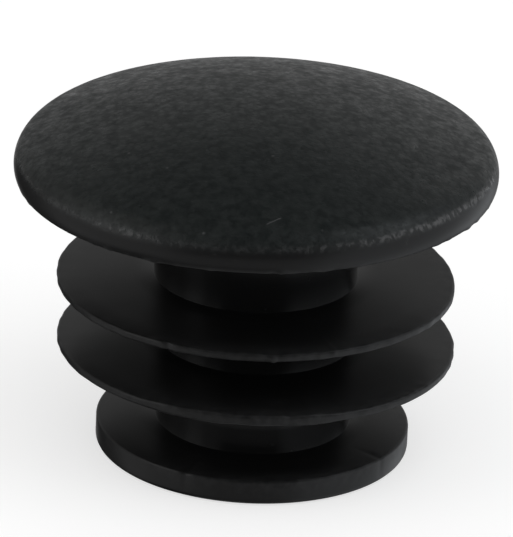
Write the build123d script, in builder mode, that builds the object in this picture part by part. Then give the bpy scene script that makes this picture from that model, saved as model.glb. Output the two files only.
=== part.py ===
"""Handlebar end plug: one moulded piece that pushes into the open end of a bar.

Millimetres, +Z up. The origin is the centre of the foot's lower face, and the plug stands on its foot
with the domed head uppermost. Every feature is round about the Z axis, so half of the plug's section
is drawn on the XZ plane, where x is the radius and y the height above the foot, and then revolved.
"""

import os
from math import asin, atan2, degrees, radians, sqrt, tan

from build123d import *

# Head: a shallow dome that rolls over into a steep lip, which covers the end of the bar
head_diameter = 25.0
dome_radius = 30.0
rollover_radius = 1.5
lip_radius = 1.3
lip_height = 0.65
seat_edge_radius = 0.1

# Stem from the head down to the foot, drafted so that it is wider at the head
insert_length = 14.8
stem_top_diameter = 10.8
stem_bottom_diameter = 10.0
seat_fillet = 0.5

# Sealing fins: thin flexible discs, a little thicker where they spring from the stem
fin_count = 2
fin_diameter = 20.6
fin_rim_thickness = 0.43
fin_root_thickness = 0.72
upper_fin_depth = 5.65
fin_pitch = 3.5
fin_rim_radius = 0.14
fin_root_fillet = 0.06

# Foot: the stiffer disc that enters the bar first, flat below
foot_diameter = 16.25
foot_rim_thickness = 1.35
foot_root_thickness = 1.5
foot_upper_radius = 0.14
foot_lower_radius = 0.3
foot_root_fillet = 0.15

# Core: a blind drafted hole that opens through the foot and keeps the walls even
core_mouth_diameter = 6.6
core_draft_angle = 1.0
crown_wall = 3.0
core_end_radius = 1.0
core_mouth_radius = 0.3

# Sizes that follow from the ones above
head_radius = head_diameter / 2
fin_radius = fin_diameter / 2
foot_radius = foot_diameter / 2
seat_height = insert_length
widest_height = seat_height + lip_height
lip_angle = degrees(asin(lip_height / lip_radius))
lip_centre_radius = head_radius - lip_radius
seat_radius = lip_centre_radius + sqrt(lip_radius**2 - lip_height**2)
rollover_centre_radius = head_radius - rollover_radius
dome_drop = sqrt((dome_radius - rollover_radius) ** 2 - rollover_centre_radius**2)
dome_centre_height = widest_height - dome_drop
dome_angle = degrees(atan2(dome_drop, rollover_centre_radius))
apex_height = dome_centre_height + dome_radius
fin_heights = [seat_height - upper_fin_depth - i * fin_pitch for i in range(fin_count)]
core_depth = apex_height - crown_wall


def stem_radius(height):
    """Radius of the drafted stem at a height above the foot's lower face."""
    rise = height / insert_length
    return (stem_bottom_diameter + rise * (stem_top_diameter - stem_bottom_diameter)) / 2


def core_radius(height):
    """Radius of the drafted core at a height above the foot's lower face."""
    return core_mouth_diameter / 2 - height * tan(radians(core_draft_angle))


def disc_corners(height, radius, rim, root):
    """Half section of a disc centred on a height, with straight flanks from the axis to its rim.

    Its thickness is rim at the radius and root where it meets the stem.
    """
    axis = rim + (root - rim) * radius / (radius - stem_radius(height))
    return [
        (0, height - axis / 2),
        (radius, height - rim / 2),
        (radius, height + rim / 2),
        (0, height + axis / 2),
    ]


def round_corner(sketch, radius, height, size):
    """Round the corner of a section that lies nearest to a radius and height."""
    fillet(sketch.vertices().sort_by_distance((radius, height, 0))[0], size)


with BuildPart() as end_plug:
    with BuildSketch(Plane.XZ) as section:
        # Head, from the axis along the seat, up the lip, round the roll-over and over the dome
        with BuildLine():
            seat = Line((0, seat_height), (seat_radius, seat_height))
            CenterArc((lip_centre_radius, widest_height), lip_radius, -lip_angle, lip_angle)
            CenterArc((rollover_centre_radius, widest_height), rollover_radius, 0, dome_angle)
            dome = CenterArc((0, dome_centre_height), dome_radius, dome_angle, 90 - dome_angle)
            Line(dome @ 1, seat @ 0)
        make_face()

        # Stem, from the foot's lower face up to the seat
        Polygon(
            (0, 0),
            (stem_radius(0), 0),
            (stem_radius(seat_height), seat_height),
            (0, seat_height),
            align=None,
        )

        # Foot, whose lower face is square to the axis
        foot_slope = (foot_root_thickness - foot_rim_thickness) / (foot_radius - stem_radius(0))
        Polygon(
            (0, 0),
            (foot_radius, 0),
            (foot_radius, foot_rim_thickness),
            (0, foot_rim_thickness + foot_slope * foot_radius),
            align=None,
        )

        # Fins, alike on both flanks
        for fin_height in fin_heights:
            Polygon(
                *disc_corners(fin_height, fin_radius, fin_rim_thickness, fin_root_thickness),
                align=None,
            )

        # Rounded edges and roots on the outside
        round_corner(section, seat_radius, seat_height, seat_edge_radius)
        round_corner(section, stem_radius(seat_height), seat_height, seat_fillet)
        for fin_height in fin_heights:
            for side in (-1, 1):
                rim_face = fin_height + side * fin_rim_thickness / 2
                root_face = fin_height + side * fin_root_thickness / 2
                round_corner(section, fin_radius, rim_face, fin_rim_radius)
                round_corner(section, stem_radius(root_face), root_face, fin_root_fillet)
        round_corner(section, stem_radius(foot_root_thickness), foot_root_thickness, foot_root_fillet)
        round_corner(section, foot_radius, foot_rim_thickness, foot_upper_radius)
        round_corner(section, foot_radius, 0, foot_lower_radius)

        # Core, cut up from the foot's lower face, with a rounded end and mouth
        Polygon(
            (0, 0),
            (core_radius(0), 0),
            (core_radius(core_depth), core_depth),
            (0, core_depth),
            align=None,
            mode=Mode.SUBTRACT,
        )
        round_corner(section, core_radius(core_depth), core_depth, core_end_radius)
        round_corner(section, core_radius(0), 0, core_mouth_radius)
    revolve(axis=Axis.Z)

end_plug.part.label = "end_plug"

os.makedirs("parts", exist_ok=True)
export_step(end_plug.part, "parts/end_plug.step")
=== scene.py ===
"""Looks of the handlebar end plug: one black moulding with a grained dome, two thin fins and a foot.

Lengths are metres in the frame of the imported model: +Z up, the origin at the centre of the foot's lower
face, and the viewer on the -Y side. The moulding is revolved from its half section by Geometry Nodes,
given the small faults of a real moulding, and dressed in two finishes of the same plastic.
"""

import logging
from dataclasses import dataclass, field
from enum import Enum
from functools import reduce
from math import asin, atan2, cos, degrees, pi, radians, sin, sqrt, tan

import bpy
import numpy as np
from mathutils import Matrix, Vector


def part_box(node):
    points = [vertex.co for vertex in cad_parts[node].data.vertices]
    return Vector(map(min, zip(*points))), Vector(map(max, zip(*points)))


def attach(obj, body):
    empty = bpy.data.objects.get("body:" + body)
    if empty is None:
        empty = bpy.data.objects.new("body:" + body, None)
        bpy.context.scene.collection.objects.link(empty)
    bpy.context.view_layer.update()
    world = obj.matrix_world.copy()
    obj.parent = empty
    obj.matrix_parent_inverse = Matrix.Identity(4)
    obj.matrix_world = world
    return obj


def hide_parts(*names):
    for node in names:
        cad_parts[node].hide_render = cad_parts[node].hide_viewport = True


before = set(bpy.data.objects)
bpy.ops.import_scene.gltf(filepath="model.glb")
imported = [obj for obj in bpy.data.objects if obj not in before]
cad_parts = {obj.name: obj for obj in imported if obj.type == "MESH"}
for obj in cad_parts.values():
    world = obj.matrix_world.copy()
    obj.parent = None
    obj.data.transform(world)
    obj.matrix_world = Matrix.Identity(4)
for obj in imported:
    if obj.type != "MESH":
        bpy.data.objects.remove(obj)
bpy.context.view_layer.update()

MM = 0.001
NODE = "end_plug"
GRAIN = "grain"
FLASH_AND_HIGHLIGHT = "flash"
POLISH = "polish"
WHITE = (1.0, 1.0, 1.0, 1.0)
COOL = (0.94, 0.97, 1.0)
WARM = (1.0, 0.98, 0.95)
log = logging.getLogger("end_plug")

Point = tuple[float, float]
Range = tuple[float, float]
Colour = tuple[float, float, float]
Socket = bpy.types.NodeSocket


class Finish(Enum):
    """The two finishes that the mould gives the plastic, and their value in the grain attribute."""

    SATIN = 0.0
    GRAINED = 1.0


def eased(value: float | np.ndarray, low: float, high: float) -> float | np.ndarray:
    """A smooth step of one value or an array: 0 up to low and 1 from high on."""
    share = np.clip((value - low) / (high - low), 0, 1)
    return share * share * (3 - 2 * share)


class NodeWriter:
    """Adds nodes to one node tree. A socket given in place of a value is linked to the new node."""

    def __init__(self, tree: bpy.types.NodeTree) -> None:
        """Starts writing in a geometry or shader tree."""
        self.tree = tree

    def add(self, kind: str, inputs: dict | None = None, **settings: object) -> bpy.types.Node:
        """Adds one node.

        Args:
            kind: The node's class name.
            inputs: Socket name or number to a value, or to the socket that it is linked from.
            **settings: Properties of the node.

        Returns:
            The new node.
        """
        node = self.tree.nodes.new(kind)
        for name, value in settings.items():
            setattr(node, name, value)
        for key, value in (inputs or {}).items():
            if isinstance(value, Socket):
                self.tree.links.new(value, node.inputs[key])
            else:
                node.inputs[key].default_value = value
        return node

    def math(self, operation: str, *values: object) -> Socket:
        """Adds a Math node, such as "SUBTRACT", for up to three values."""
        return self.add("ShaderNodeMath", dict(enumerate(values)), operation=operation).outputs[0]

    def plus(self, *values: object) -> Socket:
        """Adds up two or more values."""
        return reduce(lambda total, value: self.math("ADD", total, value), values)

    def times(self, *values: object) -> Socket:
        """Multiplies two or more values."""
        return reduce(lambda total, value: self.math("MULTIPLY", total, value), values)

    def most(self, *values: object) -> Socket:
        """The largest of two or more values."""
        return reduce(lambda largest, value: self.math("MAXIMUM", largest, value), values)

    def linear(self, value: object, factor: object, start: object) -> Socket:
        """Multiplies a value by a factor and adds a start."""
        return self.math("MULTIPLY_ADD", value, factor, start)

    def rest(self, value: object) -> Socket:
        """What is left of 1."""
        return self.math("SUBTRACT", 1, value)

    def vector(self, operation: str, *values: object) -> bpy.types.Node:
        """Adds a Vector Math node, whose result is its "Vector" or "Value"."""
        return self.add("ShaderNodeVectorMath", dict(enumerate(values)), operation=operation)

    def scaled(self, vector: object, scale: object) -> Socket:
        """Scales a vector."""
        node = self.add("ShaderNodeVectorMath", {0: vector, "Scale": scale}, operation="SCALE")
        return node.outputs["Vector"]

    def split(self, vector: Socket) -> list[Socket]:
        """Splits a vector into X, Y and Z."""
        return list(self.add("ShaderNodeSeparateXYZ", {"Vector": vector}).outputs)

    def ramp(self, value: Socket, low: float, high: float, start: float = 0, end: float = 1) -> Socket:
        """Turns low to high smoothly into start to end, and holds both beyond."""
        inputs = {"Value": value, "From Min": low, "From Max": high, "To Min": start, "To Max": end}
        return self.add("ShaderNodeMapRange", inputs, interpolation_type="SMOOTHSTEP").outputs["Result"]

    def noise(self, place: Socket, scale: object, detail: float = 2.0, rough: float = 0.5) -> Socket:
        """Adds a Noise Texture with so many features per metre, which gives values around a half."""
        inputs = {"Vector": place, "Scale": scale, "Detail": detail, "Roughness": rough}
        return self.add("ShaderNodeTexNoise", inputs).outputs["Fac"]

    def blend(self, share: object, first: object, second: object) -> Socket:
        """Mixes two numbers by the share of the second."""
        return self.add("ShaderNodeMix", {0: share, 2: first, 3: second}, data_type="FLOAT").outputs[0]

    def tint(self, share: object, first: Socket | Colour, second: Socket | Colour) -> Socket:
        """Mixes two colours by the share of the second."""
        pair = [value if isinstance(value, Socket) else (*value, 1.0) for value in (first, second)]
        return self.add("ShaderNodeMix", {0: share, 6: pair[0], 7: pair[1]}, data_type="RGBA").outputs[2]


@dataclass(frozen=True)
class Corner:
    """A corner of the half section, rounded by an arc that touches both its sides."""

    radius: float
    height: float
    rounding: float = 0.0
    steps: int = 4

    @property
    def point(self) -> Point:
        """The bare corner as (radius, height)."""
        return self.radius, self.height

    def arc(self, before: "Corner", after: "Corner") -> list[Point]:
        """The arc that rounds the corner.

        Args:
            before: The corner that the outline comes from.
            after: The corner that it goes to.

        Returns:
            Points as (radius, height), or the bare corner where it isn't rounded.
        """
        if not self.rounding:
            return [self.point]
        here = Vector(self.point)
        back = (Vector(before.point) - here).normalized()
        ahead = (Vector(after.point) - here).normalized()
        half = back.angle(ahead) / 2
        centre = here + (back + ahead).normalized() * (self.rounding / sin(half))
        start = here + back * (self.rounding / tan(half)) - centre
        end = here + ahead * (self.rounding / tan(half)) - centre
        sweep = pi - 2 * half
        turns = [sweep * step / self.steps for step in range(self.steps + 1)]
        spokes = [(start * sin(sweep - turn) + end * sin(turn)) / sin(sweep) for turn in turns]
        return [tuple(centre + spoke) for spoke in spokes]


def rounded(corners: list[Corner]) -> list[Point]:
    """Turns corners into an outline whose corners are arcs.

    Args:
        corners: The corners in order; the first and last stay sharp.

    Returns:
        Points as (radius, height).
    """
    points = [corners[0].point]
    for before, corner, after in zip(corners, corners[1:], corners[2:]):
        points += corner.arc(before, after)
    return points + [corners[-1].point]


def arc(centre: Point, radius: float, start: float, end: float, steps: int) -> list[Point]:
    """Points along an arc of the half section, between angles above the horizontal in radians."""
    angles = [start + (end - start) * step / steps for step in range(steps + 1)]
    return [(centre[0] + radius * cos(a), centre[1] + radius * sin(a)) for a in angles]


def divided(points: list[Point], longest: float) -> list[Point]:
    """Divides the long stretches of an outline.

    Args:
        points: The outline.
        longest: The longest stretch that stays whole.

    Returns:
        The outline with points added along its long stretches.
    """
    result = [points[0]]
    for (r0, h0), (r1, h1) in zip(points, points[1:]):
        pieces = max(1, round(sqrt((r1 - r0) ** 2 + (h1 - h0) ** 2) / longest))
        for piece in range(1, pieces + 1):
            share = piece / pieces
            result.append((r0 + (r1 - r0) * share, h0 + (h1 - h0) * share))
    return result


@dataclass(frozen=True)
class Head:
    """The domed head: a shallow dome, a roll-over at its edge and a steep lip.

    The grain starts and is full at angles above the horizontal, in degrees, about the roll-over's centre.
    """

    radius: float
    apex: float
    seat: float = 14.8 * MM
    dome_radius: float = 30.0 * MM
    rollover: float = 1.5 * MM
    lip: float = 1.3 * MM
    lip_height: float = 0.65 * MM
    edge_rounding: float = 0.1 * MM
    grain_starts: float = 20.0
    grain_full: float = 50.0
    rollover_steps: int = 18
    lip_steps: int = 6

    @property
    def widest(self) -> float:
        """Height at which the head is widest."""
        return self.seat + self.lip_height

    @property
    def rollover_centre(self) -> float:
        """Radius of the roll-over's centre."""
        return self.radius - self.rollover

    @property
    def dome_centre(self) -> float:
        """Height of the dome's centre, on the axis."""
        return self.apex - self.dome_radius

    @property
    def dome_angle(self) -> float:
        """Angle above the horizontal at which the dome meets the roll-over, in radians."""
        return atan2(self.widest - self.dome_centre, self.rollover_centre)

    @property
    def seat_radius(self) -> float:
        """Radius at which the lip would meet the seat with no rounding."""
        return self.radius - self.lip + sqrt(self.lip**2 - self.lip_height**2)

    def seat_corner(self) -> Corner:
        """The edge between the seat and the lip."""
        return Corner(self.seat_radius, self.seat, self.edge_rounding)

    def side(self) -> list[Point]:
        """The lip, from just above the seat's edge, and the roll-over up to the dome's edge.

        Returns:
            Points as (radius, height).
        """
        start = asin(self.lip_height / self.lip) - 2 * self.edge_rounding / self.lip
        lip = arc((self.radius - self.lip, self.widest), self.lip, -start, 0, self.lip_steps)
        centre = (self.rollover_centre, self.widest)
        return lip + arc(centre, self.rollover, 0, self.dome_angle, self.rollover_steps)[1:]

    def grain(self, point: Point) -> float:
        """How grained the skin is at a point of the section.

        Args:
            point: The point as (radius, height).

        Returns:
            The satin finish's value, rising up the roll-over to the grained one's.
        """
        out, rise = point[0] - self.rollover_centre, point[1] - self.widest
        if out < 0 or rise < 0:
            return Finish.SATIN.value
        share = eased(degrees(atan2(rise, out)), self.grain_starts, self.grain_full)
        return Finish.SATIN.value + (Finish.GRAINED.value - Finish.SATIN.value) * share


@dataclass(frozen=True)
class Stem:
    """The drafted stem between the foot and the head."""

    length: float = 14.8 * MM
    top_radius: float = 5.4 * MM
    bottom_radius: float = 5.0 * MM
    seat_fillet: float = 0.5 * MM
    seat_steps: int = 6

    def radius(self, height: float | np.ndarray) -> float | np.ndarray:
        """Radius of the stem at a height above the foot's lower face."""
        return self.bottom_radius + (self.top_radius - self.bottom_radius) * height / self.length


@dataclass(frozen=True)
class Fin:
    """A thin sealing fin, a little thicker at its root than at its rim."""

    height: float
    radius: float = 10.3 * MM
    rim: float = 0.43 * MM
    root: float = 0.72 * MM
    rim_rounding: float = 0.14 * MM
    root_fillet: float = 0.01 * MM
    root_steps: int = 2

    def corners(self, stem: Stem) -> list[Corner]:
        """The fin's corners, from its lower root out to the rim and back to its upper root.

        Args:
            stem: The stem that carries the fin.

        Returns:
            Four rounded corners.
        """
        low, high = self.height - self.root / 2, self.height + self.root / 2
        return [
            Corner(stem.radius(low), low, self.root_fillet, self.root_steps),
            Corner(self.radius, self.height - self.rim / 2, self.rim_rounding),
            Corner(self.radius, self.height + self.rim / 2, self.rim_rounding),
            Corner(stem.radius(high), high, self.root_fillet, self.root_steps),
        ]


@dataclass(frozen=True)
class Foot:
    """The stiffer disc at the plug's lower end, flat below."""

    radius: float = 8.125 * MM
    rim: float = 1.35 * MM
    root: float = 1.5 * MM
    upper_rounding: float = 0.14 * MM
    lower_rounding: float = 0.3 * MM
    lower_steps: int = 5
    root_fillet: float = 0.015 * MM
    root_steps: int = 2

    def corners(self, stem: Stem) -> list[Corner]:
        """The foot's corners, from its lower edge up to its root.

        Args:
            stem: The stem that carries the foot.

        Returns:
            Three rounded corners.
        """
        return [
            Corner(self.radius, 0, self.lower_rounding, self.lower_steps),
            Corner(self.radius, self.rim, self.upper_rounding),
            Corner(stem.radius(self.root), self.root, self.root_fillet, self.root_steps),
        ]


@dataclass(frozen=True)
class Core:
    """The blind drafted hole that opens through the foot."""

    mouth_radius: float = 3.3 * MM
    draft: float = radians(1.0)
    crown: float = 3.0 * MM
    end_rounding: float = 1.0 * MM
    end_steps: int = 5
    mouth_rounding: float = 0.3 * MM

    def corners(self, apex: float) -> list[Corner]:
        """The core's corners, from its end on the axis down to its mouth.

        Args:
            apex: Height of the dome's top, from which the crown is measured.

        Returns:
            A sharp corner on the axis and two rounded ones.
        """
        depth = apex - self.crown
        end_radius = self.mouth_radius - depth * tan(self.draft)
        return [
            Corner(0, depth),
            Corner(end_radius, depth, self.end_rounding, self.end_steps),
            Corner(self.mouth_radius, 0, self.mouth_rounding),
        ]


class RevolveTree:
    """Geometry Nodes that revolve a half section and close its top with an even-celled dome."""

    SOCKETS = {
        "Section": "NodeSocketObject",
        "Rows": "NodeSocketInt",
        "Dome Cells": "NodeSocketInt",
        "Dome Radius": "NodeSocketFloat",
        "Dome Centre": "NodeSocketFloat",
        "Dome Edge Angle": "NodeSocketFloat",
        "Grain Height": "NodeSocketFloat",
        "Grain Per Metre": "NodeSocketFloat",
        "Border Height": "NodeSocketFloat",
        "Weld": "NodeSocketFloat",
        "Plastic": "NodeSocketMaterial",
    }

    def __init__(self) -> None:
        """Builds the tree, which ends in real geometry with its material."""
        self.tree = bpy.data.node_groups.new("revolved moulding", "GeometryNodeTree")
        for name, kind in self.SOCKETS.items():
            self.tree.interface.new_socket(name, in_out="INPUT", socket_type=kind)
        self.tree.interface.new_socket("Geometry", in_out="OUTPUT", socket_type="NodeSocketGeometry")
        self.put = NodeWriter(self.tree)
        self.given = self.put.add("NodeGroupInput").outputs
        self.place = self.put.add("GeometryNodeInputPosition").outputs["Position"]
        self.mask = self.put.add("GeometryNodeInputNamedAttribute", {"Name": GRAIN}).outputs["Attribute"]
        joined = self.put.add("GeometryNodeJoinGeometry")
        for part in (self.body(), self.dome()):
            self.tree.links.new(part, joined.inputs["Geometry"])
        welded = self.step("MergeByDistance", joined.outputs["Geometry"], Distance=self.given["Weld"])
        real = self.step("RealizeInstances", self.eroded(self.step("SetShadeSmooth", welded)))
        dressed = self.step("SetMaterial", real, Material=self.given["Plastic"])
        self.put.add("NodeGroupOutput", {"Geometry": dressed})

    def step(self, kind: str, geometry: Socket, **inputs: object) -> Socket:
        """Passes geometry through a node, named without its prefix."""
        return self.put.add("GeometryNode" + kind, {"Geometry": geometry, **inputs}).outputs["Geometry"]

    def placed(self, grid: Socket, grain: object, position: Socket) -> Socket:
        """Moves the points of a grid and stores how grained they are."""
        marked = self.step("StoreNamedAttribute", grid, Name=GRAIN, Value=grain)
        return self.step("SetPosition", marked, Position=position)

    def sampled(self, section: Socket, value: Socket, row: Socket, kind: str) -> Socket:
        """Reads a value of one type at a row of the section."""
        inputs = {"Geometry": section, "Value": value, "Index": row}
        return self.put.add("GeometryNodeSampleIndex", inputs, data_type=kind).outputs["Value"]

    def body(self) -> Socket:
        """Revolves the half section.

        Returns:
            The moulding without its dome.
        """
        put, rows = self.put, self.given["Rows"]
        columns = put.times(self.given["Dome Cells"], 4)
        counts = {"Vertices X": put.plus(columns, 1), "Vertices Y": rows}
        grid = put.add("GeometryNodeMeshGrid", counts).outputs["Mesh"]
        index = put.add("GeometryNodeInputIndex").outputs["Index"]
        column = put.math("FLOOR", put.math("DIVIDE", put.plus(index, 0.5), rows))
        row = put.math("SUBTRACT", index, put.times(column, rows))
        angle = put.times(put.math("DIVIDE", column, columns), 2 * pi)
        section = put.add("GeometryNodeObjectInfo", {"Object": self.given["Section"]}).outputs["Geometry"]
        radius, _, height = put.split(self.sampled(section, self.place, row, "FLOAT_VECTOR"))
        grain = self.sampled(section, self.mask, row, "FLOAT")
        return self.placed(grid, grain, self.at_angle(radius, angle, height))

    def at_angle(self, radius: Socket, angle: Socket, height: Socket) -> Socket:
        """Turns a radius, an angle in radians and a height into a position.

        Args:
            radius: Distance from the axis.
            angle: Angle about the axis.
            height: Height above the foot's lower face.

        Returns:
            The socket with the position.
        """
        put = self.put
        x = put.times(radius, put.math("COSINE", angle))
        y = put.times(radius, put.math("SINE", angle))
        return put.add("ShaderNodeCombineXYZ", {"X": x, "Y": y, "Z": height}).outputs["Vector"]

    def dome(self) -> Socket:
        """Makes the dome from a square grid whose square rings become circles.

        Returns:
            The dome, with four times as many points round its edge as cells along a side.
        """
        put, given = self.put, self.given
        count = put.plus(given["Dome Cells"], 1)
        sizes = {"Size X": 2, "Size Y": 2, "Vertices X": count, "Vertices Y": count}
        grid = put.add("GeometryNodeMeshGrid", sizes).outputs["Mesh"]
        a, b, _ = put.split(self.place)
        wide = put.rest(put.math("LESS_THAN", put.math("ABSOLUTE", a), put.math("ABSOLUTE", b)))
        wide_angle = put.times(put.math("DIVIDE", b, a), pi / 4)
        tall_angle = put.math("SUBTRACT", pi / 2, put.times(put.math("DIVIDE", a, b), pi / 4))
        slope = put.times(self.either(wide, a, b), given["Dome Edge Angle"])
        radius = put.times(given["Dome Radius"], put.math("SINE", slope))
        height = put.plus(given["Dome Centre"], put.times(given["Dome Radius"], put.math("COSINE", slope)))
        angle = self.either(wide, wide_angle, tall_angle)
        return self.placed(grid, Finish.GRAINED.value, self.at_angle(radius, angle, height))

    def either(self, first: Socket, yes: Socket, no: Socket) -> Socket:
        """Gives one value where the first socket is 1, and the other where it is 0."""
        return self.put.plus(self.put.times(yes, first), self.put.times(no, self.put.rest(first)))

    def eroded(self, geometry: Socket) -> Socket:
        """Raises the coarse part of the spark-eroded grain, most along its border.

        Args:
            geometry: The welded, smoothly shaded moulding.

        Returns:
            The moulding with its grain.
        """
        put = self.put
        bumps = put.math("SUBTRACT", put.noise(self.place, self.given["Grain Per Metre"]), 0.5)
        border = put.times(self.mask, put.rest(self.mask))
        share = put.linear(border, self.given["Border Height"], self.mask)
        normal = put.add("GeometryNodeInputNormal").outputs["Normal"]
        lift = put.scaled(normal, put.times(bumps, self.given["Grain Height"], share))
        return self.step("SetPosition", geometry, Offset=lift)

    def apply(self, piece: bpy.types.Object, values: dict[str, object]) -> bpy.types.Mesh:
        """Runs the tree on an object.

        Args:
            piece: The object that carries the modifier for a moment.
            values: The value of each named input.

        Returns:
            The result as a plain mesh.
        """
        modifier = piece.modifiers.new("revolve", "NODES")
        modifier.node_group = self.tree
        for item in self.tree.interface.items_tree:
            if item.in_out == "INPUT":
                modifier[item.identifier] = values[item.name]
        bpy.context.view_layer.update()
        graph = bpy.context.evaluated_depsgraph_get()
        mesh = bpy.data.meshes.new_from_object(piece.evaluated_get(graph), depsgraph=graph)
        piece.modifiers.remove(modifier)
        return mesh


@dataclass(frozen=True)
class Blemish:
    """A small spot on a rim where the plastic stands proud or is missing."""

    azimuth: float
    height: float
    radius: float
    proud: float
    width: float
    rise: float = 0.0
    tall: float = 0.3 * MM
    deep: float = 0.35 * MM


class Skin:
    """The moulding's points in cylindrical terms, for the faults that the mould and use leave."""

    def __init__(self, mesh: bpy.types.Mesh, seed: int) -> None:
        """Reads the points.

        Args:
            mesh: The moulding.
            seed: Start of the random waves.
        """
        flat = np.empty(len(mesh.vertices) * 3)
        mesh.vertices.foreach_get("co", flat)
        self.mesh = mesh
        self.points = flat.reshape(-1, 3)
        self.random = np.random.default_rng(seed)
        self.azimuth = np.degrees(np.arctan2(self.points[:, 0], -self.points[:, 1]))
        self.radius = np.hypot(self.points[:, 0], self.points[:, 1])
        self.height = self.points[:, 2].copy()
        self.outward, self.upward, self.sideways, self.flash, self.polish = np.zeros((5, len(self.points)))

    def beside(self, azimuth: float) -> np.ndarray:
        """Distance along each point's own circle from an azimuth, in degrees to the viewer's right."""
        apart = (self.azimuth - azimuth + 180) % 360 - 180
        return np.radians(apart) * self.radius

    def waves(self, slowest: int, fastest: int, count: int) -> np.ndarray:
        """Random waves round the axis.

        Args:
            slowest: Fewest waves round the axis.
            fastest: Most waves round the axis.
            count: How many waves are added up.

        Returns:
            A value of about -1 to 1 at each point.
        """
        total = np.zeros(len(self.points))
        for _ in range(count):
            turns = self.random.integers(slowest, fastest + 1)
            phase = self.random.uniform(0, 2 * pi)
            total += np.sin(np.radians(self.azimuth) * turns + phase)
        return total / sqrt(2 * count)

    def write(self) -> None:
        """Moves the mesh's points by what was gathered, and stores the polish and the paleness of thin
        plastic and painted highlights.
        """
        self.points[:, :2] *= (1 + self.outward / np.maximum(self.radius, MM))[:, None]
        self.points[:, 0] += self.sideways
        self.points[:, 2] += self.upward
        self.mesh.vertices.foreach_set("co", self.points.ravel())
        for name, values in ((FLASH_AND_HIGHLIGHT, np.clip(self.flash, 0, 1)), (POLISH, self.polish)):
            stored = self.mesh.attributes.new(name, "FLOAT", "POINT")
            stored.data.foreach_set("value", values)
        self.mesh.update()


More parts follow.
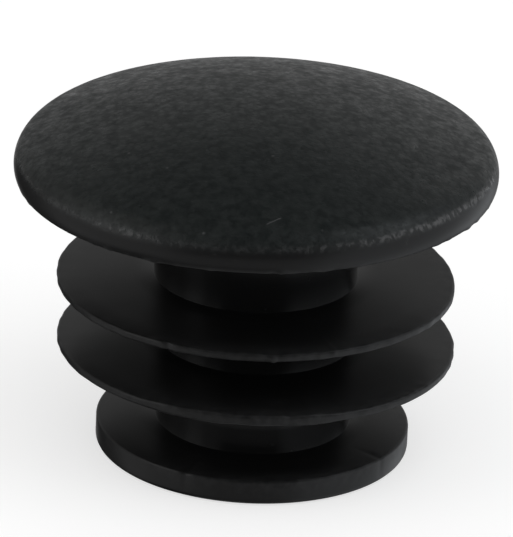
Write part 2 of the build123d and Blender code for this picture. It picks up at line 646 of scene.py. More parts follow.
@dataclass(frozen=True)
class Faults:
    """What a real moulding has besides its drawn shape: bent fins, flash, a parting line and nicks.

    What a real moulding has besides its drawn shape: bent fins, thin excess plastic at rims and edges, a
    parting line and nicks; the pale rims, head edge and grain seam also carry painted highlights.
    most round the axis and their number.
    """

    seed: int = 11
    slow_waves: tuple[int, int, int] = (2, 5, 3)
    quick_waves: tuple[int, int, int] = (9, 26, 5)
    quick_share: float = 0.06
    fin_wave: float = 0.030 * MM
    rim_waves: tuple[int, int, int] = (7, 60, 8)
    rim_wave: float = 0.016 * MM
    rim_reach: float = 0.17 * MM
    rim_tall: float = 0.3 * MM
    # paleness of the rims: part thin plastic, part painted highlight that is stronger to the right
    rim_flash: float = 0.45
    rim_flash_right: float = 0.7
    polish_margin: float = 0.004 * MM
    thick_share: float = 0.34
    thick_from: float = -34.0
    thick_to: float = 27.0
    thick_fade: float = 9.0
    thick_beyond: float = 0.7
    thick_waves: tuple[int, int, int] = (8, 30, 5)
    thick_uneven: float = 0.35
    parting_azimuth: float = 6.0
    parting_ridge: float = 0.016 * MM
    parting_width: float = 0.055 * MM
    parting_beyond: float = 0.98
    parting_above: float = 0.2
    edge_reach: float = 2.5
    edge_width: float = 0.3 * MM
    edge_waves: tuple[int, int, int] = (20, 90, 9)
    edge_slow_waves: tuple[int, int, int] = (3, 9, 3)
    edge_slow_share: float = 0.5
    edge_down: float = 0.035 * MM
    edge_out: float = 0.7
    edge_flash: float = 0.35
    seam_azimuths: tuple[float, ...] = (-90.0, -45.0, -28.0, -17.0, 0.0, 11.0, 21.0, 38.0, 51.0, 90.0)
    seam_drop: tuple[float, ...] = (10.0, 11.0, 12.0, 10.0, 9.0, 10.0, 10.0, 8.0, 7.0, 6.0)
    seam_flash: tuple[float, ...] = (0.05, 0.05, 0.05, 0.0, 0.0, 0.1, 0.35, 0.75, 1.0, 0.4)
    seam_below: float = 0.2 * MM
    hair: float = 0.001 * MM
    lean_heights: tuple[float, ...] = (0.0, 1.4 * MM, 5.65 * MM, 9.15 * MM, 14.0 * MM, 20.0 * MM)
    lean: tuple[float, ...] = (0.0, -0.02, -0.17, 0.04, 0.77, 0.77)
    nod: tuple[float, ...] = (0.0, 0.0, -0.37, -0.45, 0.0, 0.0)
    offsets: tuple[float, ...] = (0.27 * MM, 0.27 * MM, 0.26 * MM, 0.13 * MM, -0.09 * MM, -0.12 * MM)

    def apply(self, mesh: bpy.types.Mesh, plug: "EndPlug") -> None:
        """Gives the moulding its faults.

        Args:
            mesh: The moulding.
            plug: The plug, for its sizes.
        """
        skin = Skin(mesh, self.seed)
        for fin in plug.fins:
            self.bend(skin, fin, plug.stem)
            self.whiten(skin, fin.height, fin.radius)
        self.whiten(skin, plug.foot.rim, plug.foot.radius)
        skin.polish[skin.radius < plug.stem.radius(skin.height) + self.polish_margin] = 1
        self.thicken(skin, plug.fins[0])
        self.part(skin, plug)
        self.trim(skin, plug.head)
        self.creep(skin, plug.head)
        for blemish in self.blemishes(plug):
            self.mark(skin, blemish)
        self.tip(skin)
        skin.write()

    def bend(self, skin: Skin, fin: Fin, stem: Stem) -> None:
        """Waves a fin up and down towards its rim, and its rim in and out.

        Args:
            skin: The moulding's points.
            fin: The fin.
            stem: The stem that carries it.
        """
        root = stem.radius(fin.height)
        share = np.clip((skin.radius - root) / (fin.radius - root), 0, 1)
        share = share**2 * (np.abs(skin.height - fin.height) < fin.root)
        waves = skin.waves(*self.slow_waves) + self.quick_share * skin.waves(*self.quick_waves)
        skin.upward += share * self.fin_wave * waves
        skin.outward += share * self.rim_wave * skin.waves(*self.rim_waves)

    def whiten(self, skin: Skin, height: float, radius: float) -> None:
        """Marks a rim as paler and duller, as thin plastic gets where the mould parts, and paints a
        highlight along it that grows brighter to the viewer's right.

        Args:
            skin: The moulding's points.
            height: The rim's height.
            radius: The rim's radius.
        """
        close = np.abs(skin.radius - radius) < self.rim_reach
        close &= np.abs(skin.height - height) < self.rim_tall
        # painted highlight: the rim's pale line stands partly for light catching it, and grows towards the
        # right where more light falls
        to_right = np.sin(np.radians(skin.azimuth))
        skin.flash += close * self.rim_flash * (1 + self.rim_flash_right * to_right)

    def thicken(self, skin: Skin, fin: Fin) -> None:
        """Thickens the front of a fin's rim.

        Args:
            skin: The moulding's points.
            fin: The fin.
        """
        rise = np.clip((skin.azimuth - self.thick_from) / self.thick_fade, 0, 1)
        fall = np.clip((self.thick_to - skin.azimuth) / self.thick_fade, 0, 1)
        outer = np.clip((skin.radius / fin.radius - self.thick_beyond) / (1 - self.thick_beyond), 0, 1)
        above = skin.height - fin.height
        share = self.thick_share * rise * fall * outer * (np.abs(above) < fin.root)
        skin.upward += above * share * (1 + self.thick_uneven * skin.waves(*self.thick_waves))

    def part(self, skin: Skin, plug: "EndPlug") -> None:
        """Raises the parting line of the mould's two halves, below the head and outside the core.

        Args:
            skin: The moulding's points.
            plug: The plug, for its sizes.
        """
        outside = skin.radius > plug.stem.bottom_radius * self.parting_beyond
        outside &= (skin.height < plug.head.seat) & (skin.height > self.parting_above * plug.foot.rim)
        for azimuth in (self.parting_azimuth, self.parting_azimuth + 180):
            ridge = np.exp(-((skin.beside(azimuth) / self.parting_width) ** 2))
            skin.outward += outside * ridge * self.parting_ridge

    def trim(self, skin: Skin, head: Head) -> None:
        """Roughens the head's lower edge with thin, ragged excess plastic, and pales the whole edge as a
        painted highlight.

        Args:
            skin: The moulding's points.
            head: The head.
        """
        reach = self.edge_reach * head.edge_rounding
        edge = np.clip(1 - np.abs(skin.height - head.seat) / reach, 0, 1)
        edge = edge * (skin.radius > head.seat_radius - self.edge_width)
        waves = skin.waves(*self.edge_waves) + self.edge_slow_share * skin.waves(*self.edge_slow_waves)
        ragged = np.clip(waves, 0, 2)
        skin.upward -= edge * ragged * self.edge_down
        skin.outward += edge * ragged * self.edge_down * self.edge_out
        # painted highlight: an even pale line along the edge where its rounding catches light, added to
        # the paler ragged plastic
        skin.flash += edge * np.clip(self.edge_flash + ragged, 0, 1)

    def creep(self, skin: Skin, head: Head) -> None:
        """Lets the grain end lower on the roll-over, unevenly, with a pale seam along its border that is a
        painted highlight, strongest to the right.

        Args:
            skin: The moulding's points.
            head: The head.
        """
        out = skin.radius - head.rollover_centre
        up = np.degrees(np.arctan2(skin.height - head.widest, np.maximum(out, self.hair)))
        drop = np.interp(skin.azimuth, self.seam_azimuths, self.seam_drop, period=360)
        # painted highlight: how pale the seam is at each azimuth follows where light catches the roll-over
        pale = np.interp(skin.azimuth, self.seam_azimuths, self.seam_flash, period=360)
        on_side = (out > 0) & (skin.height > head.widest - self.seam_below)
        grain = eased(up + drop, head.grain_starts, head.grain_full)
        skin.flash += on_side * pale * 4 * grain * (1 - grain)
        values = np.empty(len(skin.points))
        stored = skin.mesh.attributes[GRAIN].data
        stored.foreach_get("value", values)
        stored.foreach_set("value", np.where(on_side, grain, values))

    def blemishes(self, plug: "EndPlug") -> list[Blemish]:
        """The nubs and nicks that the rims carry.

        Args:
            plug: The plug, for its sizes.

        Returns:
            The blemishes, front ones first.
        """
        (lower, upper), foot, head = plug.fins, plug.foot, plug.head
        line = self.parting_azimuth
        return [
            Blemish(line, upper.height - 0.1 * MM, upper.radius, 0.07 * MM, 0.13 * MM, -0.05 * MM),
            Blemish(line + 3, lower.height + 0.2 * MM, lower.radius, 0.05 * MM, 0.12 * MM, 0.06 * MM),
            Blemish(line + 1, head.seat, head.seat_radius, 0.05 * MM, 0.2 * MM, -0.05 * MM),
            Blemish(-25, upper.height, upper.radius, -0.10 * MM, 0.16 * MM, 0.03 * MM),
            Blemish(-24, foot.rim, foot.radius, -0.05 * MM, 0.2 * MM, -0.05 * MM),
            Blemish(18, upper.height, upper.radius, -0.05 * MM, 0.14 * MM),
            Blemish(24, upper.height + 0.1 * MM, upper.radius, 0.05 * MM, 0.12 * MM, 0.04 * MM),
            Blemish(56, foot.rim, foot.radius, -0.03 * MM, 0.22 * MM, -0.03 * MM),
            Blemish(line + 180, upper.height, upper.radius, 0.06 * MM, 0.14 * MM, -0.03 * MM),
        ]

    def mark(self, skin: Skin, blemish: Blemish) -> None:
        """Makes one blemish.

        Args:
            skin: The moulding's points.
            blemish: What and where it is.
        """
        around = skin.beside(blemish.azimuth) / blemish.width
        along = (skin.height - blemish.height) / blemish.tall
        inward = (skin.radius - blemish.radius) / blemish.deep
        spot = np.exp(-(around**2)) * np.exp(-(along**2)) * np.exp(-(inward**2))
        skin.outward += spot * blemish.proud
        skin.upward += spot * blemish.rise

    def tip(self, skin: Skin) -> None:
        """Leans and shifts the fins and the head by a little, over a level foot.

        Args:
            skin: The moulding's points.
        """
        lean, nod, aside = (
            np.interp(skin.height, self.lean_heights, values)
            for values in (self.lean, self.nod, self.offsets)
        )
        right, away = skin.points[:, 0], skin.points[:, 1]
        skin.upward += right * np.tan(np.radians(lean)) + away * np.tan(np.radians(nod))
        skin.sideways += aside


@dataclass
class SharedEffects:
    """Shader node groups that both finishes use, and the sizes of their patterns."""

    eroded_per_metre: float = 3000.0
    pit_depth: float = 0.4
    bend: float = 0.12 * MM
    mounds: Range = (0.15, 0.75)
    mound_smoothness: float = 0.6
    mound_share: float = 0.5
    fine_scale: float = 2.3
    fine_detail: float = 3.0
    fine_rough: float = 0.6
    fine_share: float = 0.35
    broad_scale: float = 0.45
    broad_share: float = 0.5
    pits: Range = (0.32, 0.5)
    crests: Range = (0.45, 0.85)
    cloud_per_metre: float = 260.0
    cloud_detail: float = 3.0
    cloud_rough: float = 0.55
    scuff_turn: Colour = (0.2, 0.4, 0.9)
    scuff_squeeze: Colour = (1.0, 9.0, 5.0)
    scuff_per_metre: float = 420.0
    scuffs: Range = (0.66, 0.74)
    scuffed: Range = (0.48, 0.62)
    dust_per_metre: float = 1500.0
    dust_share: float = 0.1
    dust: Range = (0.04, 0.16)

    def __post_init__(self) -> None:
        """Builds the groups."""
        self.erosion = self.build_erosion()
        self.wear = self.build_wear()

    def start(self, name: str, inputs: dict[str, float], outputs: list[str]) -> tuple:
        """Starts a group with a socket for the place and named numbers.

        Args:
            name: The group's name.
            inputs: Each number's name and default.
            outputs: The names of its results.

        Returns:
            The group's writer and its input sockets.
        """
        group = bpy.data.node_groups.new(name, "ShaderNodeTree")
        group.interface.new_socket("Place", in_out="INPUT", socket_type="NodeSocketVector")
        for label, value in inputs.items():
            socket = group.interface.new_socket(label, in_out="INPUT", socket_type="NodeSocketFloat")
            socket.default_value = value
        for label in outputs:
            group.interface.new_socket(label, in_out="OUTPUT", socket_type="NodeSocketFloat")
        put = NodeWriter(group)
        return put, put.add("NodeGroupInput").outputs

    def build_erosion(self) -> bpy.types.NodeTree:
        """Builds the spark-eroded texture: rounded bumps of mixed size with small pits between them.

        Returns:
            The group, which puts out a height and a mask of the crests.
        """
        sizes = {"Per Metre": self.eroded_per_metre, "Pits": self.pit_depth}
        put, given = self.start("eroded texture", sizes, ["Height", "Crests"])
        place, scale = given["Place"], given["Per Metre"]
        bent = put.add("ShaderNodeTexNoise", {"Vector": place, "Scale": scale, "Detail": 1.0})
        shift = put.scaled(bent.outputs["Color"], self.bend)
        moved = put.vector("ADD", place, shift).outputs["Vector"]
        inputs = {"Vector": moved, "Scale": scale, "Smoothness": self.mound_smoothness}
        cells = put.add("ShaderNodeTexVoronoi", inputs, feature="SMOOTH_F1").outputs["Distance"]
        mounds = put.ramp(cells, *self.mounds, 1.0, 0.0)
        fine = put.noise(moved, put.times(scale, self.fine_scale), self.fine_detail, self.fine_rough)
        broad = put.noise(place, put.times(scale, self.broad_scale), 1.0)
        pits = put.times(put.ramp(fine, *self.pits, 1.0, 0.0), given["Pits"])
        shares = {mounds: self.mound_share, broad: self.broad_share, fine: self.fine_share}
        bumps = put.plus(*(put.times(layer, share) for layer, share in shares.items()))
        height = put.math("SUBTRACT", bumps, pits)
        put.add("NodeGroupOutput", {"Height": height, "Crests": put.ramp(height, *self.crests)})
        return put.tree

    def build_wear(self) -> bpy.types.NodeTree:
        """Builds handling wear: cloudy polish, thin scuffs that run one way and fine dust.

        Returns:
            The group, which puts out a cloud, a scuff mask and a dust mask.
        """
        sizes = {"Cloud Per Metre": self.cloud_per_metre, "Dust Share": self.dust_share}
        put, given = self.start("handling wear", sizes, ["Cloud", "Scuffs", "Dust"])
        place = given["Place"]
        cloud = put.noise(place, given["Cloud Per Metre"], self.cloud_detail, self.cloud_rough)
        inputs = {"Vector": place, "Rotation": self.scuff_turn, "Scale": self.scuff_squeeze}
        lying = put.add("ShaderNodeMapping", inputs).outputs["Vector"]
        streaks = put.ramp(put.noise(lying, self.scuff_per_metre), *self.scuffs)
        scuffs = put.times(streaks, put.ramp(cloud, *self.scuffed))
        inputs = {"Vector": place, "Scale": self.dust_per_metre, "Randomness": 1.0}
        spots = put.add("ShaderNodeTexVoronoi", inputs).outputs
        chance = put.add("ShaderNodeSeparateColor", {"Color": spots["Color"]}).outputs[0]
        rare = put.math("LESS_THAN", chance, given["Dust Share"])
        dust = put.times(put.ramp(spots["Distance"], *self.dust, 1.0, 0.0), rare)
        put.add("NodeGroupOutput", {"Cloud": cloud, "Scuffs": scuffs, "Dust": dust})
        return put.tree


@dataclass(frozen=True)
class Scratch:
    """A straight light mark on the dome, seen from above."""

    x: float
    y: float
    length: float
    turn: float
    width: float = 0.05 * MM
    wander: float = 0.12 * MM
    wander_per_metre: float = 1800.0
    core_share: float = 0.3
    full_share: float = 0.35

    def mask(self, put: NodeWriter, place: Socket) -> Socket:
        """Draws the mark.

        Args:
            put: Writer of the material's tree.
            place: Object coordinates.

        Returns:
            1 along the mark and 0 elsewhere.
        """
        moved = put.vector("SUBTRACT", place, (self.x, self.y, 0.0)).outputs["Vector"]
        inputs = {"Vector": moved, "Rotation": (0.0, 0.0, -radians(self.turn))}
        along, across, _ = put.split(put.add("ShaderNodeMapping", inputs).outputs["Vector"])
        wander = put.math("SUBTRACT", put.noise(place, self.wander_per_metre), 0.5)
        off = put.math("ABSOLUTE", put.plus(across, put.times(wander, self.wander)))
        thin = put.ramp(off, self.core_share * self.width, self.width, 1.0, 0.0)
        far = put.math("ABSOLUTE", along)
        return put.times(thin, put.ramp(far, self.full_share * self.length, 0.5 * self.length, 1.0, 0.0))


@dataclass(frozen=True)
class SatinSkin:
    """The skin off a polished part of the mould: lip, stem, fins and foot."""

    colour: Colour = (0.0078, 0.0079, 0.0081)
    roughness: float = 0.33
    cloudy: float = 0.08
    stem_polish: float = 0.15
    swirl_per_metre: float = 430.0
    swirl_height: float = 0.18
    ripple_per_metre: float = 6500.0
    ripple_height: float = 0.05

    def finish(self, put: NodeWriter, place: Socket, cloud: Socket) -> tuple[Socket, Socket]:
        """Draws the skin.

        Args:
            put: Writer of the material's tree.
            place: Object coordinates.
            cloud: Where handling has left the skin duller.

        Returns:
            Its roughness and its relief.
        """
        rough = put.linear(put.math("SUBTRACT", cloud, 0.5), self.cloudy, self.roughness)
        on_stem = put.add("ShaderNodeAttribute", attribute_name=POLISH).outputs["Fac"]
        rough = put.linear(on_stem, -self.stem_polish, rough)
        swirl = put.times(put.noise(place, self.swirl_per_metre), self.swirl_height)
        ripple = put.times(put.noise(place, self.ripple_per_metre), self.ripple_height)
        return rough, put.plus(swirl, ripple)


@dataclass(frozen=True)
class GrainedSkin:
    """The skin off the spark-eroded part of the mould: the dome."""

    colour: Colour = (0.0040, 0.0060, 0.0058)
    crest_colour: Colour = (0.022, 0.026, 0.025)
    crest_share: float = 0.20
    blotch_colour: Colour = (0.0125, 0.0150, 0.0146)
    blotch_share: float = 0.50
    blotch_per_metre: float = 1700.0
    blotches: Range = (0.36, 0.64)
    roughness: float = 0.43
    rough_spread: float = 0.30
    mean_height: float = 0.6
    mottle_per_metre: float = 1300.0
    mottle: float = 0.48
    cloudy: float = 0.08
    coat: float = 0.36

    def finish(self, put: NodeWriter, place: Socket, height: Socket,
               cloud: Socket) -> tuple[Socket, Socket]:
        """Draws the skin.

        Args:
            put: Writer of the material's tree.
            place: Object coordinates.
            height: The eroded texture's height.
            cloud: Where handling has left the skin duller.

        Returns:
            Its roughness and its relief.
        """
        relief = put.math("SUBTRACT", height, self.mean_height)
        rough = put.linear(relief, -self.rough_spread, self.roughness)
        mottle = put.math("SUBTRACT", put.noise(place, self.mottle_per_metre, 1.0), 0.5)
        rough = put.linear(mottle, self.mottle, rough)
        return put.linear(cloud, self.cloudy, rough), relief


def blank_material(name: str) -> tuple[bpy.types.Material, NodeWriter]:
    """Makes a material with no nodes.

    Args:
        name: The material's name.

    Returns:
        The material and the writer of its tree.
    """
    material = bpy.data.materials.new(name)
    material.use_nodes = True
    material.node_tree.nodes.clear()
    return material, NodeWriter(material.node_tree)


@dataclass(frozen=True)
class MouldedPlastic:
    """Black plastic with a satin skin that turns into a grained one up the head's roll-over."""

    effects: SharedEffects
    satin: SatinSkin = field(default_factory=SatinSkin)
    grained: GrainedSkin = field(default_factory=GrainedSkin)
    pale: Colour = (0.066, 0.067, 0.068)
    pale_share: float = 0.55
    speck_per_metre: float = 3200.0
    specks: Range = (0.40, 0.64)
    speck_floor: float = 0.18
    glint_power: float = 1.5
    painted_glint: float = 0.40
    painted_seam_glint: float = 2.1
    glint_polish: float = 0.20
    glint_relief: float = 1.5
    flash_per_metre: float = 2600.0
    ragged: Range = (0.25, 0.75)
    flash_mark: float = 0.7
    flash_dullness: float = 0.22
    dust_on_satin: float = 0.25
    dust_on_grain: float = 0.8
    scuff_mark: float = 0.25
    gloss: float = 0.34
    refraction: float = 1.49
    relief: float = 0.013 * MM
    relief_strength: float = 0.9
    scratches: tuple[Scratch, ...] = (
        Scratch(-4.4 * MM, 2.6 * MM, 1.1 * MM, 8.0),
        Scratch(0.9 * MM, -10.9 * MM, 1.0 * MM, 35.0),
        Scratch(3.6 * MM, 4.9 * MM, 0.5 * MM, -30.0),
    )

    def build(self) -> bpy.types.Material:
        """Builds the material.

        Returns:
            The finished material.
        """
        material, put = blank_material("black moulded plastic")
        place = put.add("ShaderNodeTexCoord").outputs["Object"]
        grain = put.add("ShaderNodeAttribute", attribute_name=GRAIN).outputs["Fac"]
        # partly painted highlight: the stored pale rims, head edge and grain seam are part thin plastic
        # and part painted highlight
        whole_flash = put.add("ShaderNodeAttribute", attribute_name=FLASH_AND_HIGHLIGHT).outputs["Fac"]
        flash = put.times(whole_flash, put.ramp(put.noise(place, self.flash_per_metre, 3.0), *self.ragged))
        erosion, wear = (
            put.add("ShaderNodeGroup", {"Place": place}, node_tree=group).outputs
            for group in (self.effects.erosion, self.effects.wear)
        )
        satin_rough, satin_relief = self.satin.finish(put, place, wear["Cloud"])
        grained_rough, grained_relief = self.grained.finish(put, place, erosion["Height"], wear["Cloud"])

        border = put.times(grain, put.rest(grain), 4)
        specks = put.ramp(put.noise(place, self.speck_per_metre), *self.specks, self.speck_floor)
        glints = put.times(put.math("POWER", border, self.glint_power), specks)
        # painted highlight: glints pale the colour along the grain's border, more where the stored
        # highlight is; their polish and relief are real
        seam = put.linear(whole_flash, self.painted_seam_glint, self.painted_glint)
        marks_and_highlights = put.most(self.marks_and_highlights(put, place, grain, flash, wear), put.times(glints, seam))

        rough = put.blend(grain, satin_rough, grained_rough)
        rough = put.linear(flash, self.flash_dullness, rough)
        rough = put.linear(glints, -self.glint_polish, rough)
        relief = put.blend(grain, satin_relief, grained_relief)
        relief = put.linear(glints, self.glint_relief, relief)
        inputs = {"Strength": self.relief_strength, "Distance": self.relief, "Height": relief}
        surface = put.add(
            "ShaderNodeBsdfPrincipled",
            {
                "Base Color": self.shade(put, place, grain, erosion["Crests"], marks_and_highlights),
                "Roughness": rough,
                "IOR": self.refraction,
                "Normal": put.add("ShaderNodeBump", inputs).outputs["Normal"],
                "Specular IOR Level": self.gloss,
                "Coat Weight": put.times(grain, self.grained.coat),
                "Coat Roughness": self.grained.roughness,
            },
        )
        put.add("ShaderNodeOutputMaterial", {"Surface": surface.outputs["BSDF"]})
        return material

    def marks_and_highlights(self, put: NodeWriter, place: Socket, grain: Socket, flash: Socket,
              wear: bpy.types.bpy_prop_collection) -> Socket:
        """Draws the pale marks and painted highlights: dust, scratches, scuffs, and the paler thin plastic
        and painted highlights of rims, edge and seam.

        Args:
            put: Writer of the material's tree.
            place: Object coordinates.
            grain: How grained the skin is.
            flash: Where it is paler and duller, from thin plastic and from painted highlight.
            wear: Outputs of the handling wear.

        Returns:
            How pale the skin is.
        """
        dust = put.times(wear["Dust"], put.blend(grain, self.dust_on_satin, self.dust_on_grain))
        scratched = [put.times(scratch.mask(put, place), grain) for scratch in self.scratches]
        scuffs = put.times(wear["Scuffs"], self.scuff_mark)
        return put.most(dust, *scratched, scuffs, put.times(flash, self.flash_mark))

    def shade(self, put: NodeWriter, place: Socket, grain: Socket, crests: Socket,
              marks_and_highlights: Socket) -> Socket:
        """Mixes the colour.

        Args:
            put: Writer of the material's tree.
            place: Object coordinates.
            grain: How grained the skin is.
            crests: The grain's crests.
            marks_and_highlights: How pale the skin is, from marks and painted highlights.

        Returns:
            The colour.
        """
        skin = self.grained
        shade = put.tint(grain, self.satin.colour, skin.colour)
        blotches = put.ramp(put.noise(place, skin.blotch_per_metre, 1.0), *skin.blotches)
        shade = put.tint(put.times(blotches, grain, skin.blotch_share), shade, skin.blotch_colour)
        shade = put.tint(put.times(crests, grain, skin.crest_share), shade, skin.crest_colour)
        return put.tint(put.times(marks_and_highlights, self.pale_share), shade, self.pale)


@dataclass
class EndPlug:
    """The whole plug: head, stem, two fins, foot and core in one moulding."""

    effects: SharedEffects
    dome_cells: int = 132
    longest_stretch: float = 1.1 * MM
    grain_height: float = 0.013 * MM
    grain_per_metre: float = 3300.0
    border_height: float = 5.0
    weld: float = 0.001 * MM
    stem: Stem = field(default_factory=Stem)
    foot: Foot = field(default_factory=Foot)
    core: Core = field(default_factory=Core)
    upper_fin_depth: float = 5.65 * MM
    fin_pitch: float = 3.5 * MM
    faults: Faults = field(default_factory=Faults)

    def __post_init__(self) -> None:
        """Takes the head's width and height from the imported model, and places the fins under it."""
        low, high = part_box(NODE)
        self.head = Head(radius=(high[0] - low[0]) / 2, apex=high[2] - low[2])
        upper = self.head.seat - self.upper_fin_depth
        self.fins = (Fin(upper - self.fin_pitch), Fin(upper))

    def section(self) -> list[Point]:
        """Draws the half section.

        Returns:
            Points from the core's end on the axis, round the outside, to the dome's edge.
        """
        stem, head, side = self.stem, self.head, self.head.side()
        corners = self.core.corners(head.apex) + self.foot.corners(stem)
        for fin in self.fins:
            corners += fin.corners(stem)
        corners.append(Corner(stem.top_radius, head.seat, stem.seat_fillet, stem.seat_steps))
        corners += [head.seat_corner(), Corner(*side[0])]
        return divided(rounded(corners) + side[1:], self.longest_stretch)

    def section_object(self) -> bpy.types.Object:
        """Makes the half section an object that the node tree can read.

        Returns:
            A mesh of loose points with the grain attribute.
        """
        points = self.section()
        mesh = bpy.data.meshes.new("half section")
        mesh.from_pydata([(radius, 0.0, height) for radius, height in points], [], [])
        grain = mesh.attributes.new(GRAIN, "FLOAT", "POINT")
        grain.data.foreach_set("value", [self.head.grain(point) for point in points])
        holder = bpy.data.objects.new("half section", mesh)
        bpy.context.scene.collection.objects.link(holder)
        return holder

    def build(self) -> bpy.types.Object:
        """Builds and dresses the moulding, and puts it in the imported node's place.

        Returns:
            The moulding's object.
        """
        holder = self.section_object()
        piece = bpy.data.objects.new("plug_moulding", bpy.data.meshes.new("start"))
        bpy.context.scene.collection.objects.link(piece)
        values = {
            "Section": holder,
            "Rows": len(holder.data.vertices),
            "Dome Cells": self.dome_cells,
            "Dome Radius": self.head.dome_radius,
            "Dome Centre": self.head.dome_centre,
            "Dome Edge Angle": pi / 2 - self.head.dome_angle,
            "Grain Height": self.grain_height,
            "Grain Per Metre": self.grain_per_metre,
            "Border Height": self.border_height,
            "Weld": self.weld,
            "Plastic": MouldedPlastic(self.effects).build(),
        }
        mesh = RevolveTree().apply(piece, values)
        bpy.data.objects.remove(holder)
        self.faults.apply(mesh, self)
        mesh.name = "plug moulding"
        piece.data = mesh
        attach(piece, "root")
        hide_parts(NODE)
        return piece


@dataclass(frozen=True)
class Glow:
    """A soft patch of the tent, by its direction from the plug in degrees."""

    azimuth: float
    elevation: float
    half_width: float
    half_height: float
    soft_sides: float
    soft_ends: float
    level: float
    tint: Colour = (1.0, 1.0, 1.0)

    def patch(self, put: NodeWriter, turn: Socket, rise: Socket) -> Socket:
        """Draws the patch.

        Args:
            put: Writer of the tent's tree.
            turn: Azimuth of the tent's points.
            rise: Their elevation.

        Returns:
            The patch's light.
        """
        apart = put.math("ABSOLUTE", put.math("WRAP", put.math("SUBTRACT", turn, self.azimuth), 180, -180))
        above = put.math("ABSOLUTE", put.math("SUBTRACT", rise, self.elevation))
        across = put.ramp(apart, self.half_width, self.half_width + self.soft_sides, 1, 0)
        along = put.ramp(above, self.half_height, self.half_height + self.soft_ends, 1, 0)
        return put.scaled(self.tint, put.times(across, along, self.level))


@dataclass(frozen=True)
class Softbox:
    """A square area lamp that faces the plug, by its direction from it in degrees."""

    name: str
    azimuth: float
    elevation: float
    distance: float
    size: float
    level: float
    tint: Colour = (1.0, 1.0, 1.0)

    def build(self, target: Vector) -> None:
        """Hangs the lamp.

        Args:
            target: What it faces.
        """
        lamp = bpy.data.lights.new(self.name, "AREA")
        lamp.shape = "SQUARE"
        lamp.size = self.size
        lamp.color = self.tint
        lamp.energy = self.level * (pi * self.distance) ** 2
        hung = bpy.data.objects.new(self.name, lamp)
        turn, rise = radians(self.azimuth), radians(self.elevation)
        away = Vector((sin(turn) * cos(rise), -cos(turn) * cos(rise), sin(rise)))
        hung.location = target + away * self.distance
        hung.rotation_euler = away.to_track_quat("Z", "Y").to_euler()
        hung.visible_glossy = False
        bpy.context.scene.collection.objects.link(hung)


@dataclass(frozen=True)
class Viewpoint:
    """The camera, far off with a long lens, as the photograph was taken."""

    distance: float = 500 * MM
    elevation: float = 23.65
    roll: float = 2.59
    image_height: int = 537
    pixels_per_metre: float = 19310.0
    target_height: float = 7.80 * MM
    right_shift: float = 0.223 * MM
    up_shift: float = 1.766 * MM
    sensor: float = 36.0

    def build(self) -> None:
        """Places the camera and makes it the scene's."""
        rise, roll = radians(self.elevation), radians(self.roll)
        target = Vector((0, 0, self.target_height))
        place = target + Vector((0, -cos(rise), sin(rise))) * self.distance
        level = Matrix(((1, 0, 0), (0, sin(rise), -cos(rise)), (0, cos(rise), sin(rise))))
        turned = level @ Matrix.Rotation(roll, 3, "Z")
        aim = target + turned @ Vector((self.right_shift, self.up_shift, 0))
        back = (place - aim).normalized()
        right = (turned @ Vector((0, 1, 0))).cross(back).normalized()
        basis = Matrix((right, back.cross(right), back)).transposed()
        data = bpy.data.cameras.new("camera")
        data.sensor_width = self.sensor
        data.lens = self.pixels_per_metre * self.distance * self.sensor / self.image_height
        camera = bpy.data.objects.new("camera", data)
        camera.matrix_world = Matrix.Translation(place) @ basis.to_4x4()
        bpy.context.scene.collection.objects.link(camera)
        bpy.context.scene.camera = camera


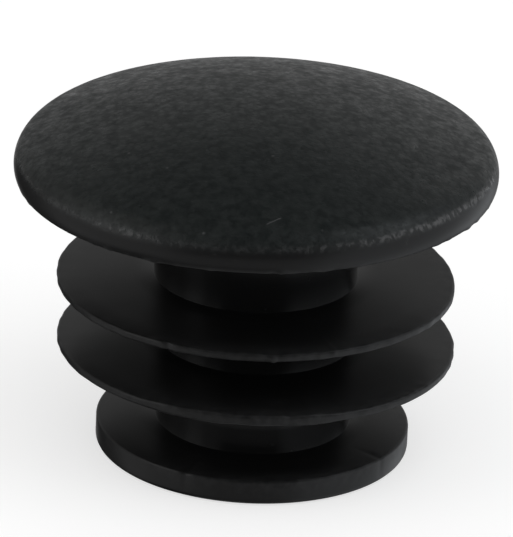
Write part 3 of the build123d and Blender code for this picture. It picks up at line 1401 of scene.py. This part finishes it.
@dataclass(frozen=True)
class Studio:
    """A pale floor under soft lamps, inside a dim tent that only glossy surfaces show."""

    floor_size: float = 12.0
    floor_gap: float = 0.02 * MM
    tent_radius: float = 2.5
    tent_segments: int = 48
    tent_rings: int = 24
    fill: float = 0.5
    floor_colour: float = 0.8
    floor_glow: float = 0.62
    floor_shade: float = 0.45
    target: Colour = (0.0, 0.0, 9 * MM)
    tent_level: float = 0.015
    lamps: tuple[Softbox, ...] = (
        Softbox("top softbox", 20, 72, 0.9, 0.8, 0.34),
        Softbox("right softbox", 75, 38, 0.9, 0.6, 0.16, COOL),
        Softbox("left softbox", -70, 38, 0.9, 0.6, 0.14, (1.0, 0.97, 0.94)),
    )
    glows: tuple[Glow, ...] = (
        Glow(180, 16, 30, 14, 25, 14, 0.34),
        Glow(154, 18, 12, 16, 12, 14, 0.46),
        Glow(180, 50, 70, 10, 20, 12, 0.03),
        Glow(180, -12, 14, 12, 14, 10, 0.46),
        Glow(130, -20, 16, 12, 10, 10, 0.80, COOL),
        Glow(80, -30, 40, 28, 15, 12, 0.62, COOL),
        Glow(88, 48, 22, 14, 10, 10, 1.0, (0.93, 0.96, 1.0)),
        Glow(84, 0, 34, 12, 15, 10, 0.64, COOL),
        Glow(-84, 48, 22, 16, 14, 12, 0.42, WARM),
        Glow(-74, -8, 30, 28, 15, 14, 0.42),
        Glow(-118, 24, 22, 20, 15, 15, 0.20, WARM),
        Glow(-118, -30, 20, 20, 12, 12, 0.06),
        Glow(-69, 22, 9, 14, 6, 8, 1.25),
        Glow(0, -32, 50, 18, 15, 8, 0.28),
        Glow(0, -82, 180, 6, 15, 12, 0.34),
        Glow(0, 78, 180, 16, 15, 15, 0.02),
    )

    def build(self) -> None:
        """Sets up the world, the lamps, the floor and the tent."""
        self.build_world()
        for lamp in self.lamps:
            lamp.build(Vector(self.target))
        self.build_floor()
        self.build_tent()
        bpy.context.scene.view_settings.view_transform = "Standard"

    def seen(self, put: NodeWriter) -> Socket:
        """Gives 1 for the rays that show the background: camera, glossy and transmission rays."""
        path = put.add("ShaderNodeLightPath").outputs
        return put.most(*(path[f"Is {kind} Ray"] for kind in ("Camera", "Glossy", "Transmission")))

    def build_world(self) -> None:
        """Makes the world white where it is seen and a plain fill elsewhere."""
        world = bpy.data.worlds.new("studio")
        world.use_nodes = True
        world.node_tree.nodes.clear()
        put = NodeWriter(world.node_tree)
        strength = put.linear(self.seen(put), 1 - self.fill, self.fill)
        light = put.add("ShaderNodeBackground", {"Color": WHITE, "Strength": strength})
        put.add("ShaderNodeOutputWorld", {"Surface": light.outputs["Background"]})
        world.cycles.sampling_method = "NONE"
        bpy.context.scene.world = world

    def build_floor(self) -> None:
        """Lays the floor, white where it is seen but for the plug's soft shadow, and clear from below."""
        material, put = blank_material("pale floor")
        plain, shaded = (
            put.add("ShaderNodeBsdfDiffuse", {"Color": (value, value, value, 1)}).outputs[0]
            for value in (self.floor_colour, self.floor_shade)
        )
        glow = put.add("ShaderNodeEmission", {"Color": WHITE, "Strength": self.floor_glow}).outputs[0]
        bright = put.add("ShaderNodeAddShader", {0: shaded, 1: glow}).outputs[0]
        above = put.add("ShaderNodeMixShader", {0: self.seen(put), 1: plain, 2: bright}).outputs[0]
        from_below = put.add("ShaderNodeNewGeometry").outputs["Backfacing"]
        clear = put.add("ShaderNodeBsdfTransparent", {"Color": WHITE}).outputs[0]
        both = put.add("ShaderNodeMixShader", {0: from_below, 1: above, 2: clear}).outputs[0]
        put.add("ShaderNodeOutputMaterial", {"Surface": both})
        material.cycles.emission_sampling = "NONE"
        half = self.floor_size / 2
        mesh = bpy.data.meshes.new("floor")
        corners = [(-half, -half), (half, -half), (half, half), (-half, half)]
        mesh.from_pydata([(x, y, -self.floor_gap) for x, y in corners], [], [(0, 1, 2, 3)])
        mesh.materials.append(material)
        floor = bpy.data.objects.new("floor", mesh)
        floor.visible_glossy = False
        bpy.context.scene.collection.objects.link(floor)

    def build_tent(self) -> None:
        """Hangs the tent, whose patches the gloss of the plastic shows."""
        material, put = blank_material("soft tent")
        place = put.add("ShaderNodeTexCoord").outputs["Object"]
        x, y, z = put.split(place)
        turn = put.math("DEGREES", put.math("ARCTAN2", x, put.times(y, -1)))
        length = put.vector("LENGTH", place).outputs["Value"]
        rise = put.math("DEGREES", put.math("ARCSINE", put.math("DIVIDE", z, length)))
        level = dict.fromkeys("XYZ", self.tent_level)
        colour = put.add("ShaderNodeCombineXYZ", level).outputs["Vector"]
        for glow in self.glows:
            colour = put.vector("MAXIMUM", colour, glow.patch(put, turn, rise)).outputs["Vector"]
        light = put.add("ShaderNodeEmission", {"Color": colour, "Strength": 1.0})
        put.add("ShaderNodeOutputMaterial", {"Surface": light.outputs[0]})
        material.cycles.emission_sampling = "NONE"
        bpy.ops.mesh.primitive_uv_sphere_add(
            segments=self.tent_segments, ring_count=self.tent_rings, radius=self.tent_radius
        )
        tent = bpy.context.object
        tent.name = "tent"
        tent.data.materials.append(material)
        for kind in ("camera", "diffuse", "shadow", "transmission", "volume_scatter"):
            setattr(tent, f"visible_{kind}", False)


def main() -> None:
    """Builds the plug and its studio."""
    logging.basicConfig(level=logging.INFO, format="%(name)s: %(message)s")
    plug = EndPlug(SharedEffects())
    piece = plug.build()
    log.info("%s: %d points, %d faces", piece.name, len(piece.data.vertices), len(piece.data.polygons))
    Studio().build()
    Viewpoint().build()
    log.info("studio and camera ready")


if __name__ == "__main__":
    main()
